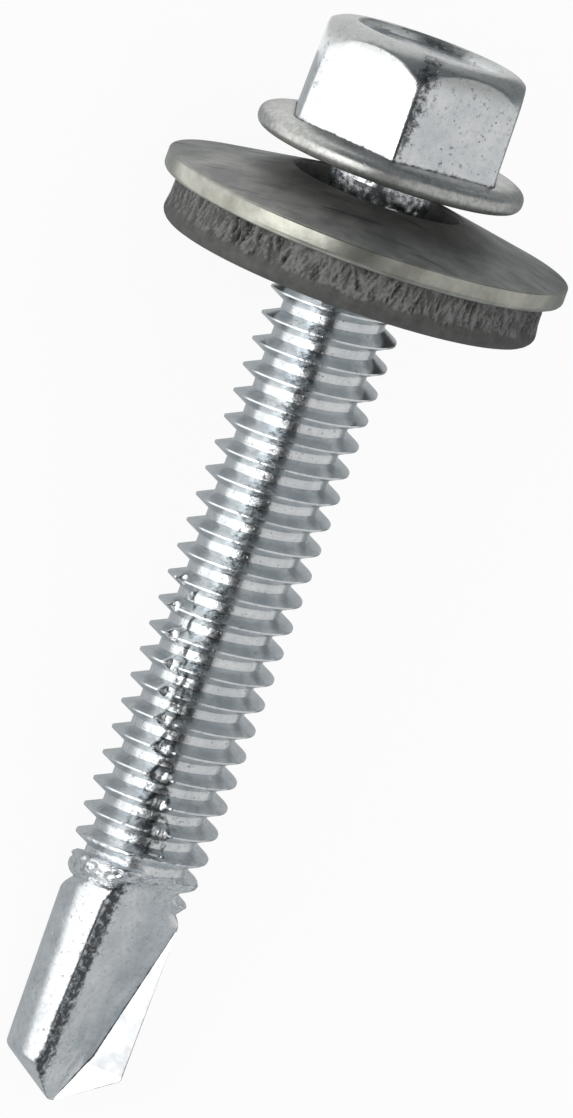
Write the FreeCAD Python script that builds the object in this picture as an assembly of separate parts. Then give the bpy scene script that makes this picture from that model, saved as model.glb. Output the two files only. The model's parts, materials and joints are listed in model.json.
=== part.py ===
import FreeCAD, Part

import math
import os

Vector = FreeCAD.Vector

# A self-drilling facade screw with a bonded sealing washer, in millimetres and degrees.
# Each shape is drawn upright: the axis is Z, the head points up, and the flange's
# underside is at height 0. At the end all three pieces are laid down as the screw rests.
# The thread is drawn with flat facets, so that the fine helix stays light.

# Hexagon head
hex_flats = 7.95           # across the flats, where the hexagon meets its flange
hex_corners = 9.0          # across the worn corners
hex_draft = 0.8            # how far each flat leans in
head_height = 4.97         # flange underside to the top of the head
head_turn = 2.0            # the hexagon isn't quite square to the drill point
top_tilt = 1.8             # the punch came down this much off square
corner_drop = 1.5          # the rounded top edge comes down this far over the corners
dish_radius = 2.95         # shallow round dent in the top of the head
dish_depth = 0.35
dish_wall = 0.45           # the dent's sloping wall, measured across

# Flange, forged with the head
flange_diameter = 10.6
flange_thickness = 0.75    # at its round rim
flange_rise = 0.22         # its top climbs this much from the rim to the hexagon

# Shank and thread
shank_length = 38.2        # flange underside to the drill's tip
crest_diameter = 5.22      # over the thread
root_diameter = 3.97       # at the bottom of the thread, and of the bare neck above it
pitch = 25.4 / 24          # 24 threads to the inch
root_width = 0.34          # flat bottom between two ridges
first_crest = 0.967        # a crest crosses the right side this far below the flange
neck_fillet = 0.35
neck_length = 0.6          # bare neck under the flange
thread_start = 0.37        # the first turn climbs to full height over this length
worn_length = 2.5          # the last turns are worn down over this length
worn_diameter = 4.86
last_turn = 0.35           # the last turn sinks back over this length

# Drill point
drill_length = 8.6         # tip to the end of the neck cone above the flutes
drill_neck = 0.55          # height of that cone
neck_rounding = 0.3
drill_diameter = 4.76
drill_end_diameter = 4.64  # at the shoulder, after the forging taper
point_angle = 109.0
shoulder_radius = 0.45
tip_radius = 0.3
land_edge_high = 9.0       # from the drill's front to the edge of its land, at the top
land_edge_low = 21.0       # and just above the point
valley_high = 2.68         # flute's valley from the middle plane, at its upper end
valley_low = 1.0           # and just above the point
flute_high = 9.2           # heights of those two places above the tip
flute_low = 2.1
flute_runout = 2.8         # the flute leaves the shank over this length
web = 0.2                  # metal left between the two flutes at the tip
lip_turn = 55.0            # the flute's wall turns by this much towards the tip

# Dished metal washer
washer_diameter = 16.0
washer_bore = 6.6
washer_thickness = 0.8
washer_dish = 12.5         # slope of its cone
washer_gap = 0.95          # from the flange down to the washer's bore edge
rim_rounding = 0.38

# Sealing ring, bonded under the metal washer
seal_diameter = 14.8
seal_thickness = 2.1
seal_land = 0.7            # flat ring at the bottom that meets the sheet
seal_rounding = 0.4
thread_clearance = 0.06    # between the thread and the ring's bore

# Sizes that follow
root_radius = root_diameter / 2
crest_radius = crest_diameter / 2
tip_height = -shank_length
drill_radius = drill_diameter / 2
end_radius = drill_end_diameter / 2
half_point = math.radians(point_angle / 2)
tip_corner = tip_radius / math.tan(math.radians(45 + point_angle / 4))
shoulder_height = tip_height + (end_radius - tip_corner) / math.tan(half_point)
drill_top = tip_height + drill_length
outside = 1.5              # cutting shapes reach this far past the metal
overlap = 0.2              # pieces of one forging run into each other by this much
sink = 0.06                # and the one inside is this much slimmer there
thread_sides = 20          # facets in one turn of the thread
rounding_steps = 4         # a small rounding is drawn as this many narrow cones


def rounded(before, corner, after, radius, steps):
    """Points along the circle that rounds one corner of an outline."""
    back = (before - corner).normalize()
    ahead = (after - corner).normalize()
    half = back.getAngle(ahead) / 2
    centre = corner + (back + ahead).normalize() * (radius / math.sin(half))
    first = corner + back * (radius / math.tan(half)) - centre
    last = corner + ahead * (radius / math.tan(half)) - centre
    points = []
    for step in range(steps + 1):
        share = step / steps
        points.append(centre + (first * (1 - share) + last * share).normalize() * radius)
    return points


def revolve(outline, steps=rounding_steps):
    """Turn a closed outline of (radius, height) points about the axis.

    A point may carry a third value: the radius that rounds the corner there.
    """
    corners = [Vector(point[0], 0, point[1]) for point in outline]
    path = []
    for index, point in enumerate(outline):
        corner = corners[index]
        if len(point) < 3:
            path.append(corner)
        else:
            after = corners[(index + 1) % len(corners)]
            path += rounded(corners[index - 1], corner, after, point[2], steps)
    path = [point for index, point in enumerate(path) if point.distanceToPoint(path[index - 1]) > 1e-6]
    wire = Part.makePolygon(path + path[:1])
    return Part.Face(wire).revolve(Vector(0, 0, 0), Vector(0, 0, 1), 360)


def hexagon_head():
    """Drafted hexagon whose top edge is rounded by turning, with a dent in its top."""
    lean = math.tan(math.radians(hex_draft))
    foot = flange_thickness / 2

    def hexagon(height):
        flats = hex_flats / 2 - lean * (height - flange_thickness)
        corner = flats / math.cos(math.radians(30))
        turns = [math.radians(head_turn + 30 + 60 * side) for side in range(7)]
        return Part.makePolygon([Vector(corner * math.cos(a), corner * math.sin(a), height) for a in turns])

    prism = Part.makeLoft([hexagon(foot), hexagon(head_height + outside)], True, True)

    corner = hex_corners / 2
    blank = revolve([
        (0, -outside), (corner, -outside), (corner, head_height, corner_drop), (0, head_height),
    ], steps=2 * rounding_steps)
    dent = Part.makeCone(
        dish_radius - dish_wall, dish_radius + dish_wall, 2 * dish_depth,
        Vector(0, 0, head_height - dish_depth),
    )
    punched = blank.cut(dent)
    punched.rotate(Vector(0, 0, head_height / 2), Vector(1, 0, 0), -top_tilt)
    return prism.common(punched)


def flange():
    """Round flange with a full-round rim, from its flat underside to the hexagon's foot."""
    rim = flange_diameter / 2
    return revolve([
        (0, 0), (rim, 0, flange_thickness / 2), (rim, flange_thickness, flange_thickness / 2),
        (hex_flats / 2, flange_thickness + flange_rise), (0, flange_thickness + flange_rise),
    ])


def neck():
    """Bare neck, flared into the flange."""
    flare = root_radius + neck_fillet
    return revolve([
        (0, flange_thickness / 2), (flare, flange_thickness / 2), (flare, 0),
        (root_radius, 0, neck_fillet), (root_radius, -neck_length), (0, -neck_length),
    ])


def thread_radius(angle, height):
    """Radius of the threaded shank: a right-hand ridge, cut off where the thread begins and ends."""
    turns = (height + first_crest) / pitch - angle / (2 * math.pi)
    from_crest = abs(turns - round(turns)) * pitch
    ridge_half = (pitch - root_width) / 2
    ridge = crest_radius - (crest_radius - root_radius) * min(1, from_crest / ridge_half)
    limits = [
        (drill_top, root_radius - sink), (drill_top + last_turn, worn_diameter / 2),
        (drill_top + worn_length, crest_radius), (-neck_length - thread_start, crest_radius),
        (-neck_length, root_radius - sink),
    ]
    if not limits[0][0] < height < limits[-1][0]:
        return root_radius - sink
    for (low, low_radius), (high, high_radius) in zip(limits, limits[1:]):
        if height <= high:
            return min(ridge, low_radius + (high_radius - low_radius) * (height - low) / (high - low))


def threaded_shank():
    """Rows of points climb along the crest and along both edges of the root between them."""
    top = -neck_length + overlap
    bottom = drill_top - overlap
    turns_down = math.ceil((-first_crest - bottom) / pitch) + 1
    rows = []
    for turn in range(-turns_down, 2):
        crest = -first_crest + pitch * turn
        rows += [crest, crest + (pitch - root_width) / 2, crest + (pitch + root_width) / 2]

    def point(row, side):
        angle = 2 * math.pi * side / thread_sides
        height = min(top, max(bottom, rows[row] + pitch * side / thread_sides))
        radius = thread_radius(angle, height)
        return Vector(radius * math.cos(angle), radius * math.sin(angle), height)

    facets = []
    for row in range(len(rows) - 1):
        for side in range(thread_sides):
            low, high = point(row, side), point(row + 1, side)
            low_next, high_next = point(row, side + 1), point(row + 1, side + 1)
            for corners in ((low, low_next, high_next), (low, high_next, high)):
                area = (corners[1] - corners[0]).cross(corners[2] - corners[0]).Length
                if area > 1e-7:
                    facets.append(Part.Face(Part.makePolygon([*corners, corners[0]])))
    for row in (0, len(rows) - 1):
        ring = [point(row, side) for side in range(thread_sides)]
        facets.append(Part.Face(Part.makePolygon(ring + ring[:1])))
    shell = Part.Shell(facets)
    shell.sewShape()
    solid = Part.Solid(shell)
    if solid.Volume < 0:
        solid.reverse()
    return solid


def drill():
    """Forged drill body: a neck cone, a slight taper, and a round-shouldered point."""
    return revolve([
        (0, drill_top), (root_radius, drill_top), (drill_radius, drill_top - drill_neck, neck_rounding),
        (end_radius, shoulder_height, shoulder_radius), (tip_corner, tip_height, tip_radius),
        (0, tip_height),
    ])


def flute_section(height, valley, wall_angle):
    """Cross-section of the cutter: open in front of the valley, walled on its left."""
    reach = drill_radius + outside
    lean = math.radians(wall_angle)
    wall = 1.4 * reach
    wall_end = Vector(valley.x - wall * math.sin(lean), valley.y - wall * math.cos(lean), height)
    return Part.makePolygon([
        Vector(valley.x, valley.y, height), wall_end,
        Vector(wall_end.x, -2 * reach, height), Vector(2 * reach, -2 * reach, height),
        Vector(2 * reach, valley.y, height), Vector(valley.x, valley.y, height),
    ])


def wall_angle(valley, radius, land_edge):
    """Angle from straight ahead to the wall that joins the valley and the land's edge."""
    edge_x = -radius * math.sin(math.radians(land_edge))
    edge_y = -radius * math.cos(math.radians(land_edge))
    return math.degrees(math.atan2(valley - edge_x, -edge_y))


def flute():
    """One flute: its valley runs in towards the tip and out of the shank at the top."""
    below = 0.5
    low_angle = wall_angle(valley_low, end_radius, land_edge_low)
    high_angle = wall_angle(valley_high, drill_radius, land_edge_high)
    lean = math.radians(high_angle)
    clear = crest_radius + outside - valley_high * math.cos(lean)
    away = Vector(valley_high + clear * math.cos(lean), -clear * math.sin(lean), 0)
    tip_valley = web / 2 - below * (valley_low - web / 2) / flute_low
    sections = [
        flute_section(tip_height - below, Vector(tip_valley, 0, 0), lip_turn),
        flute_section(tip_height + flute_low, Vector(valley_low, 0, 0), low_angle),
        flute_section(tip_height + flute_high, Vector(valley_high, 0, 0), high_angle),
        flute_section(tip_height + flute_high + flute_runout, away, high_angle),
    ]
    return Part.makeLoft(sections, True, True)


def screw():
    """Head, flange, shank and drill point are one forging."""
    shape = hexagon_head().fuse(flange()).fuse(neck()).fuse(threaded_shank()).fuse(drill())
    opposite = flute()
    opposite.rotate(Vector(0, 0, 0), Vector(0, 0, 1), 180)
    return shape.cut([flute(), opposite])


def washer_top(radius):
    """Height of the washer's upper cone at a radius."""
    return -washer_gap - (radius - washer_bore / 2) * math.tan(math.radians(washer_dish))


def washer_bottom(radius):
    """Height of its lower cone, one thickness below, where the seal is bonded on."""
    return washer_top(radius) - washer_thickness / math.cos(math.radians(washer_dish))


def metal_washer():
    """Conical disc with a bore wider than the shank and a rounded rim."""
    bore = washer_bore / 2
    rim = washer_diameter / 2
    return revolve([
        (bore, washer_top(bore)), (rim, washer_top(rim), rim_rounding),
        (rim, washer_bottom(rim), rim_rounding), (bore, washer_bottom(bore)),
    ])


def rubber_seal():
    """Ring under the washer that follows its cone and ends in a flat land."""
    bore = crest_radius + thread_clearance
    rim = seal_diameter / 2
    depth = seal_thickness / math.cos(math.radians(washer_dish))
    land = rim - seal_rounding - seal_land
    floor = washer_bottom(land) - depth
    return revolve([
        (bore, washer_bottom(bore)), (rim, washer_bottom(rim)), (rim, floor, seal_rounding),
        (land, floor), (bore, washer_bottom(bore) - depth),
    ])


def rest_turn():
    """Turn that lays the screw on its washer's rim and on one flute of its drill."""
    roll = (90 - land_edge_low) / 2
    support = end_radius * math.sin(math.radians(roll))
    rim = washer_diameter / 2 - rim_rounding
    height = washer_bottom(washer_diameter / 2) + rim_rounding
    run = height - shoulder_height
    drop = rim - support
    tilt = math.degrees(math.acos(-rim_rounding / math.hypot(run, drop)) - math.atan2(run, drop))
    flute_down = FreeCAD.Rotation(Vector(0, 0, 1), -roll)
    front_up = FreeCAD.Rotation(Vector(0, 0, 1), -90)
    lay_down = FreeCAD.Rotation(Vector(0, 1, 0), 90 - tilt)
    print("rest tilt", round(tilt, 3), "roll", round(roll, 3))
    return lay_down.multiply(front_up).multiply(flute_down)


def main():
    os.makedirs("parts", exist_ok=True)
    pieces = {"screw": screw(), "metal_washer": metal_washer(), "rubber_seal": rubber_seal()}

    turn = FreeCAD.Placement(Vector(0, 0, 0), rest_turn())
    for name in pieces:
        pieces[name].transformShape(turn.toMatrix(), True)

    box = Part.makeCompound(list(pieces.values())).optimalBoundingBox(True, False)
    centre = Vector((box.XMin + box.XMax) / 2, (box.YMin + box.YMax) / 2, box.ZMin)
    for name, shape in pieces.items():
        shape.translate(centre * -1)
        shape.exportStep("parts/" + name + ".step")
        print(name, "valid", shape.isValid(), "solids", len(shape.Solids), "volume", round(shape.Volume, 2))
    print("box", [round(v, 3) for v in (box.XLength, box.YLength, box.ZLength)])


main()
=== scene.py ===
# %% [markdown]
# # A self-drilling facade screw, lying as it was dropped
#
# The real thing is three pieces: one forged and rolled steel screw, a dished metal washer,
# and a rubber ring bonded under the washer. Each one becomes one mesh here. The solids of
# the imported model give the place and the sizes, and the meshes below take their stand.

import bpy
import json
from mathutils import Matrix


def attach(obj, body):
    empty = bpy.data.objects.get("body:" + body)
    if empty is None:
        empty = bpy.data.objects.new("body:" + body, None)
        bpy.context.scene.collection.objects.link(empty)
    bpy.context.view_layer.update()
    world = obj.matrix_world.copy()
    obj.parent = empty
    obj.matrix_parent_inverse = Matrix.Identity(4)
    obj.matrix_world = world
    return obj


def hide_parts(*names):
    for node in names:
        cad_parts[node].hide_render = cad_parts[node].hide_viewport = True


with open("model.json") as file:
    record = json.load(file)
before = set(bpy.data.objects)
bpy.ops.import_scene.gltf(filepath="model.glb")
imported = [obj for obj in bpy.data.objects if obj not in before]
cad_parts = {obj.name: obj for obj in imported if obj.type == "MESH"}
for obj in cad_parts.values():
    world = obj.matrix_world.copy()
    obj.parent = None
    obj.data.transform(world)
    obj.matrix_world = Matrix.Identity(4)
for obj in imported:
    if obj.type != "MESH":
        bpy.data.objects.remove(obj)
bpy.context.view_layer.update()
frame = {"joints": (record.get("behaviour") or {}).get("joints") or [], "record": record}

import json
import math

import bpy
import numpy as np
from mathutils import Matrix, Vector
from mathutils.noise import noise as perlin

# %% [markdown]
# ## Drawing upright, finishing lying down
#
# A screw is easiest to draw standing on its axis, in millimetres: radius, angle, height.
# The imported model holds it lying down, so one matrix turns upright millimetres into the
# metres of the frame. The washer's joint gives the axis, the drive mount the top of the
# head, and the sealing mount which way the right side of the screw points.

# %% The upright frame
head_height = 4.97
mm = 0.001               # in metres
mounts = {mount["name"]: mount for mount in frame["record"]["mounts"]}
along = Vector(frame["joints"][0]["axis"]).normalized()
head_top = Vector(mounts["hex_drive"]["pos_m"])
to_land = Vector(mounts["seal_face"]["pos_m"]) - head_top
right = (to_land - along * to_land.dot(along)).normalized()
away = along.cross(right)
flange_seat = head_top - along * head_height * mm
upright_axes = Matrix((right, away, along)).transposed().to_4x4()
lay_down = Matrix.Translation(flange_seat) @ upright_axes @ Matrix.Scale(mm, 4)
turn = lay_down.to_3x3().normalized()
print("flange underside at", [round(v / mm, 2) for v in flange_seat], "mm")

# %% [markdown]
# ## The camera
#
# The photograph looks almost square at the screw's side, from a little above the head,
# through a long lens. Its frame is turned so that the screw leans across the picture. A
# camera far away with a long lens gives the same flat view, and building its axes from the
# screw's own axes keeps it right wherever the screw lies.

# %% Camera
picture_height = 1118    # pixels of the photograph's frame
pixels_per_mm = 26.38
look_down = math.radians(9.7)         # above the plane square to the screw
picture_lean = math.radians(19.94)
camera_distance = 600.0               # millimetres
aim = Vector((1.47, 0.0, -15.41))     # upright millimetres, the middle of the picture

toward_viewer = Vector((0, -math.cos(look_down), math.sin(look_down)))
screen_up = Vector((0, math.sin(look_down), math.cos(look_down)))
picture_up = screen_up * math.cos(picture_lean) - Vector((1, 0, 0)) * math.sin(picture_lean)
picture_right = picture_up.cross(toward_viewer)
picture_axes = Matrix((picture_right, picture_up, toward_viewer)).transposed()
camera = bpy.data.objects.new("camera", bpy.data.cameras.new("camera"))
bpy.context.scene.collection.objects.link(camera)
camera.data.sensor_fit = "VERTICAL"
camera.data.sensor_height = 24.0
camera.data.lens = camera.data.sensor_height * pixels_per_mm * camera_distance / picture_height
camera.data.clip_start, camera.data.clip_end = 0.01, 10.0
stand = Matrix.Translation(lay_down @ (aim + toward_viewer * camera_distance))
camera.matrix_world = stand @ (turn @ picture_axes).to_4x4()
bpy.context.scene.camera = camera
print("lens", round(camera.data.lens, 1), "mm")

# %% [markdown]
# ## Grids that wrap round the axis
#
# Every piece of this object is round or nearly so. A grid of rows and columns wrapped
# round the axis fits that well: a column is one angle, a row is one step along the
# outline, and a row that shrinks to a point closes a pole. Points that fall together are
# merged afterwards, so the skin is closed.


# %% Grid helpers
def wrap(points, climb=0):
    """Faces of a grid wrapped round the axis. A row meets the row climb higher at the seam."""
    rows, columns = points.shape[:2]
    number = np.arange(rows * columns).reshape(rows, columns)
    after = np.roll(number, -1, axis=1)
    after[:, -1] = number[np.clip(np.arange(rows) + climb, 0, rows - 1), 0]
    return np.stack([number[:-1], after[:-1], after[1:], number[1:]], axis=-1).reshape(-1, 4)


def polar(radius, angle, height):
    """Points from radius, angle and height arrays that broadcast to one shape."""
    radius, angle, height = np.broadcast_arrays(radius, angle, height)
    return np.stack([radius * np.cos(angle), radius * np.sin(angle), height], axis=-1)


def new_object(name, blocks, values=None):
    """One object from blocks of (points, faces). values maps an attribute's name to its blocks."""
    vertices, faces, count = [], [], 0
    for points, block_faces in blocks:
        flat = points.reshape(-1, 3)
        vertices.append(flat)
        faces.append(block_faces + count)
        count += len(flat)
    mesh = bpy.data.meshes.new(name)
    mesh.from_pydata(np.concatenate(vertices).tolist(), [], np.concatenate(faces).tolist())
    for key, parts in (values or {}).items():
        layer = mesh.attributes.new(key, "FLOAT", "POINT")
        layer.data.foreach_set("value", np.concatenate([part.ravel() for part in parts]).astype(np.float32))
    thing = bpy.data.objects.new(name, mesh)
    bpy.context.scene.collection.objects.link(thing)
    return thing


print("3 rows of 8 points wrap into", len(wrap(np.zeros((3, 8, 3)))), "faces")

# %% [markdown]
# ## The screw's blank
#
# A real screw starts as a forged blank: the head is struck, the drill point is pinched
# between dies, and only then is the thread rolled in. The mesh follows the same order, so
# the thread can eat into the blank wherever the blank is thick enough. The columns are
# spaced evenly, with four more at each of the two flutes for its face.

# %% Shank sizes in millimetres, and the columns
shank_length, neck_length = 38.2, 0.6
root_diameter, crest_diameter = 3.97, 5.22
root_radius, crest_radius = root_diameter / 2, crest_diameter / 2
out_of_reach = 9.0       # a radius past everything on the screw

column_count, face_columns = 180, 4
half = column_count // 2
plain = np.radians(np.arange(column_count) * 360 / column_count)
angles = np.concatenate([plain[[0] * face_columns], plain[:half], plain[[half] * face_columns], plain[half:]])
degrees = np.degrees(angles)
on_wall = np.array([0, half + face_columns])    # one such column per flute, on the wall by the valley
in_valley, past_valley, before_lip, at_lip = (on_wall + step for step in range(1, 5))
print(len(angles), "columns")

# %% [markdown]
# ### Drill point
#
# The uncut point is a rounded tip, a cone and a body that tapers a little towards the tip.
# Each is a simple line, and taking the smallest of them with soft corners gives the
# outline of a forging rather than of a turned part.

# %% The drill's outline
drill_diameter, drill_end_diameter, point_angle = 4.76, 4.64, 109.0
drill_length, drill_neck, tip_radius = 8.6, 0.55, 0.3


def ramp(value, width=1.0):
    """0 where value is negative, rising to 1 where it reaches width."""
    return np.clip(value / width, 0, 1)


def smooth_min(a, b, width):
    """The smaller of two arrays, blended where they differ by less than width."""
    share = ramp(0.5 + 0.5 * (b - a) / width)
    return b + (a - b) * share - width * share * (1 - share)


def drill_outline(above_tip, lift=0.0):
    """Radius of the uncut drill body at a height above its tip. lift raises the neck."""
    half_point = math.radians(point_angle / 2)
    corner = tip_radius / math.tan(math.radians(45 + point_angle / 4))
    ball = np.sqrt(np.clip(tip_radius ** 2 - (tip_radius - above_tip) ** 2, 0, None))
    touch = tip_radius * (1 - math.sin(half_point))
    cone = np.where(above_tip < touch, ball, corner + above_tip * math.tan(half_point))
    top = drill_length - drill_neck
    body = np.interp(above_tip, [1.6, top], [drill_end_diameter / 2, drill_diameter / 2])
    neck_slope = (drill_diameter / 2 - root_radius) / drill_neck
    neck = np.maximum(drill_diameter / 2 - (above_tip - lift - top) * neck_slope, root_radius)
    return smooth_min(smooth_min(cone, body, 0.16), neck, 0.12)


print("drill radius 5 mm above the tip:", round(float(drill_outline(np.array(5.0))), 3), "mm")

# %% [markdown]
# ### Flutes
#
# Each flute is one long wall that starts at a valley and ends at the land, and one flat
# face that carries the cutting lip. Cutting them with a boolean would leave long thin
# triangles, so the wall is worked out: a ray from the axis meets it at a distance that one
# line of algebra gives. The face leans forward a little, so a ray can't describe it. One
# column lies in the valley, another at the lip, and the strip between them is the face. A
# column close beside each of them keeps the painted dark line of shade along the edge thin.

# %% The flutes' rule
face_lean = 14.0                      # degrees, how far each flute's face leans forward
shoulder, flute_end = 2.1, 9.2        # above the tip: the body's lower edge, and the flute's last trace


def flute_sizes(above_tip, body):
    """Valley (how far out, how far back), reach of the land, and the wall's lean and its distance."""
    valley = np.interp(above_tip, [-0.5, shoulder, flute_end], [-0.115, 1.0, 2.68])
    back = math.tan(math.radians(face_lean)) * np.clip(body - valley, 0, None)
    edge = np.radians(np.interp(above_tip, [shoulder, flute_end], [21, 9]))
    reach = np.interp(above_tip, [shoulder, flute_end], [drill_end_diameter / 2, drill_diameter / 2])
    lean = np.arctan2(valley + reach * np.sin(edge), reach * np.cos(edge) + back)
    lean = lean + np.radians(np.interp(above_tip, [0, shoulder], [10, 0]))
    lift = np.clip(above_tip - flute_end, 0, None) * 0.88
    return valley, back, reach, lean, valley * np.cos(lean) - back * np.sin(lean) + lift


def flute_wall(angle, above_tip, body):
    """Distance along a ray from the axis to a flute's wall, and a painted dark reflection at its land."""
    _, _, reach, lean, offset = flute_sizes(above_tip, body)
    shape = np.broadcast(angle, above_tip).shape
    nearest, band = np.full(shape, out_of_reach), np.zeros(shape)
    for half_turn in (0, math.pi):
        local = (angle - half_turn + math.pi) % (2 * math.pi) - math.pi
        facing = np.cos(local + lean)
        wall = offset / np.where(facing > 1e-3, facing, 1e-3)
        hollow = 0.10 * ramp(np.sin(-local * 1.7)) * ramp(above_tip, 2)
        in_front = (local < -1e-6) & (facing > 1e-3) & (local > -math.pi + 1e-6)
        nearest = np.minimum(nearest, np.where(in_front, wall - hollow, out_of_reach))
        land_edge = -lean - np.arccos(np.clip(offset / reach, -1, 1))
        past_edge = (local - land_edge) * reach
        # the band is a painted dark reflection along the land's rounded edge
        band_width = np.interp(above_tip, [0, 3, 9], [0.15, 0.36, 0.44])
        strength = ramp(1.2 - np.abs(past_edge - 0.1) / band_width)
        band = np.maximum(band, 0.98 * strength * (above_tip < 9.4))
    return nearest, band


def envelope(height):
    """Radius over the crests: full, then worn down over the last turns."""
    heights = [-29.95, -29.4, -27.1, -2.3, -1.9]
    return np.interp(height, heights, [root_radius, 2.43, crest_radius, crest_radius, root_radius])


print("flutes run out", flute_end, "mm above the tip")

# %% [markdown]
# ### Lower block
#
# The lowest part of the grid holds the point, the drill body and the worn last turns. On
# the real screw the dies squeezed metal up past the drill's neck: the neck sits higher at
# the front, and the last turn is swollen on its left. Both are added to the core, the
# radius that the thread rolling later leaves alone.

# %% Core and blank of the lower block
level_from = -27.5       # below this height the worn turns lie on level rows
top_of_block = shank_length + level_from
above_tip = np.concatenate([
    [0, 0.004, 0.014, 0.03, 0.056, 0.1, 0.16, 0.22], np.arange(0.3, 2.4, 0.075),
    np.arange(2.4, 7.8, 0.18), np.arange(7.8, top_of_block, 0.04), [top_of_block],
])[:, None]
lower_heights = above_tip - shank_length
lift = np.interp(degrees, [180, 205, 232, 255, 330, 350], [0, 0.35, 0.75, 0.85, 0.85, 0])
lower_core = np.where(above_tip < drill_length + lift, drill_outline(above_tip, lift), root_radius)
swollen_at = np.interp(degrees, [180, 232, 270], [-29.2, -28.8, -28.68])
swollen = np.sqrt(np.clip(1 - ((lower_heights - swollen_at) / 0.47) ** 2, 0, None))
swollen = swollen * ramp(np.cos(angles - math.radians(215)) - 0.3, 0.3)
lower_core = np.where(swollen > 0, np.maximum(lower_core, root_radius + 0.42 * swollen), lower_core)
early_end = 0.3 * (1 - np.cos(angles)) * ramp(10.2 - above_tip, 0.6)
blank = np.maximum(lower_core, envelope(lower_heights - early_end))
blank = np.where(above_tip < 8.2, lower_core, blank)
print(len(above_tip), "rows, closest at the rounded tip and in the worn turns")

# %% Pinch the flutes
body = np.where(above_tip < drill_length, drill_outline(above_tip), root_radius)
valley, back, _, lean, offset = flute_sizes(above_tip, body)
wall, lower_stain_and_shade = flute_wall(angles, above_tip, body)
corner_softness = 0.03 + 0.33 * ramp(above_tip - 0.3)
lower_radius = np.clip(smooth_min(blank, wall, corner_softness), 0, None)
to_valley = np.hypot((offset + back * np.sin(lean)) / np.cos(lean), back)
lower_radius[:, in_valley] = np.minimum(blank[:, in_valley], to_valley)
lower_radius[0] = 0
lower_angles = angles + 0 * above_tip
lower_angles[:, in_valley] += np.arctan2(back, np.maximum(valley, 1e-6))
valley_at_top = float(valley.max())
print("the valley leans out to", round(valley_at_top, 2), "mm from the axis")


# %% Wear the last turns, and shape the strips beside each edge
def ripple(points, size, seed=0.0):
    """Smooth random values from about -1 to 1, with blotches of size millimetres."""
    flat = points.reshape(-1, 3) / size + seed
    return np.array([perlin(Vector(row)) for row in flat]).reshape(points.shape[:-1])


worn = ramp(1 - np.abs(above_tip - 9.6) / 1.3)
lower = polar(lower_radius, lower_angles, lower_heights)
lumps = 0.06 * ripple(lower, 0.35) + 0.07 * ripple(lower, 0.16, 7)
lower = polar(lower_radius + worn * lumps * (lower_radius > 2.0), lower_angles, lower_heights)
for moved, beside, share in (
    (on_wall, on_wall - 1, 0.16), (past_valley, at_lip, 0.045), (before_lip, at_lip, 0.96),
):
    lower[:, moved] = share * lower[:, beside] + (1 - share) * lower[:, in_valley]
lower_core = lower_core - 0.12 * worn + 0.3 * ramp(4 * swollen)
lower_stain_and_shade = np.maximum(lower_stain_and_shade, 0.35 * worn + 0.15 * swollen)
lower_pits = ramp(0.7 + worn) + 0 * lower_stain_and_shade
# the valley and the lip get a painted dark line of shade, and the wall beside the valley a little
for column, value in ((on_wall, 0.5), (in_valley, 1.6), (past_valley, 0), (before_lip, 0), (at_lip, 1.6)):
    lower_stain_and_shade[:, column] = np.where(above_tip < 8.5, value, lower_stain_and_shade[:, column])
    lower_pits[:, column] = 0
print("lower block", lower.shape[:2])

# %% [markdown]
# ### Rows that follow the thread
#
# A sharp crest only stays crisp if a row of points runs along it. So in the threaded
# length the rows climb with the helix: each is one fixed share of a turn, and after one
# time round it meets the next turn's row. The rows above and below the threaded length
# are level, and the climbing rows stop dead on them.

# %% Rows of the threaded block
pitch, crest_width, root_width, first_crest = 25.4 / 24, 0.07, 0.34, 0.967
turn_count = 28
flank = (pitch - crest_width - root_width) / 2
marks = np.array([0, crest_width / 2, crest_width / 2 + flank / 2, crest_width / 2 + flank, pitch / 2])
marks = np.concatenate([marks, pitch - marks[3:0:-1]])
crests = -first_crest + pitch - np.arange(turn_count) * pitch
climbing = (crests[:, None] - marks[None, :]).ravel()[::-1]
heights = np.clip(climbing[:, None] + pitch * angles[None, :] / (2 * math.pi), level_from, -neck_length)
print(len(marks), "rows to a turn,", len(heights), "in all")

# %% [markdown]
# ### Dents and nicks
#
# Tools and other screws have struck the crests: along the front, eleven of them are
# dented, and a few turns have a nick in their bottom. Each was placed one by one, by how far
# it is to the side of the axis and below the flange in the picture. A dent lowers the
# blank, so the thread that is rolled later is flatter there.

# %% Dent the crests
crest_dents = [(-2.1, 17.2), (-2.0, 18.2), (-1.7, 19.3), (-1.3, 20.4), (-1.1, 21.4), (-0.8, 22.4),
               (-0.5, 23.4), (-0.2, 24.5), (0.1, 25.5), (0.5, 26.5), (0.7, 27.4)]
root_nicks = [(-1.34, 17.7), (-1.12, 18.8), (-0.93, 19.75), (-0.6, 20.75), (-0.6, 21.7)]


def marked(radius, across, below, wide, tall):
    """1 at a mark on the thread, 0 away from it. across and below are millimetres in the picture."""
    around = math.asin(across / radius)
    level = (radius * math.cos(around) * math.sin(look_down) - below) / math.cos(look_down)
    arc = ((angles - around + math.pi / 2 + math.pi) % (2 * math.pi) - math.pi) * radius
    return np.exp(-(arc[None, :] / wide) ** 4 - ((heights - level) / tall) ** 4)


dents = [
    marked(crest_radius, across, below, 0.24 + 0.016 * max(0, below - 17), 0.42)
    for across, below in crest_dents
]
nicks = [marked(root_radius, across, below, 0.09, 0.24) for across, below in root_nicks]
dent, nick = np.max(dents, axis=0), np.max(nicks, axis=0)
near_neck = ramp(heights + 2.2, 0.4)
threaded_core = root_radius - 0.06 * near_neck
threaded_radius = envelope(heights) - 0.36 * dent
threaded = polar(threaded_radius, angles, heights)
rough = 0.05 * near_neck * ripple(threaded, 0.25) + 0.07 * dent * ripple(threaded, 0.2, 5)
threaded = polar(threaded_radius + rough, angles, heights)
print("threaded block", threaded.shape[:2], "with", len(dents), "dents and", len(nicks), "nicks")
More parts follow.
